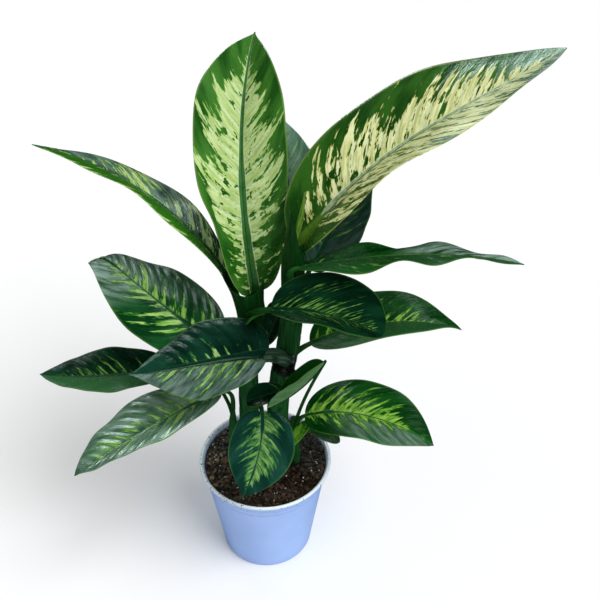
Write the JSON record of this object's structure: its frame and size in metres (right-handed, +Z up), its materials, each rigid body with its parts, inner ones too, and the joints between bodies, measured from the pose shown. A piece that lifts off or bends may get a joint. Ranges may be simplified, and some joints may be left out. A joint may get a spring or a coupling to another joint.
{
  "type": "potted dieffenbachia",
  "caption": "Leafy house plant with variegated oblong leaves on upright canes, standing in soil in a round tapered nursery pot.",
  "frame": {"origin": "centre of the pot's underside", "axes": "+Z up the plant, -Y towards the front, +X to the right seen from the front"},
  "size_m": [0.577, 0.2687, 0.7009],
  "materials": {
    "pot_plastic": "light blue smooth plastic, slightly glossy",
    "potting_soil": "coarse dark peat with bark and perlite, matte",
    "cane": "green sheathed stem, satin",
    "bright_leaf": "green edge and cream centre, waxy satin",
    "green_leaf": "mid green with lime feathering, waxy satin",
    "dark_leaf": "dark green with lime feathering, waxy satin"
  },
  "bodies": {
    "root": {"pot": "pot_plastic", "soil": "potting_soil", "cane_left": "cane", "cane_right": "cane", "shoot_left": "cane", "shoot_right": "cane", "leaf_top_centre": "bright_leaf", "leaf_top_right": "bright_leaf", "leaf_top_left": "green_leaf", "leaf_level_right": "green_leaf", "leaf_front_right": "dark_leaf", "leaf_mid_right": "green_leaf", "leaf_front_left": "dark_leaf", "leaf_mid_left": "dark_leaf", "leaf_low_left": "green_leaf", "leaf_back_left": "dark_leaf", "leaf_low_right": "green_leaf", "leaf_front_low": "green_leaf", "leaf_folded": "green_leaf", "leaf_back_centre": "dark_leaf", "leaf_back_right": "dark_leaf", "leaf_behind_canes": "dark_leaf", "leaf_between_canes": "dark_leaf", "leaf_young_front": "bright_leaf", "leaf_young_right": "green_leaf", "rolled_leaf": "bright_leaf"}
  },
  "joints": []
}
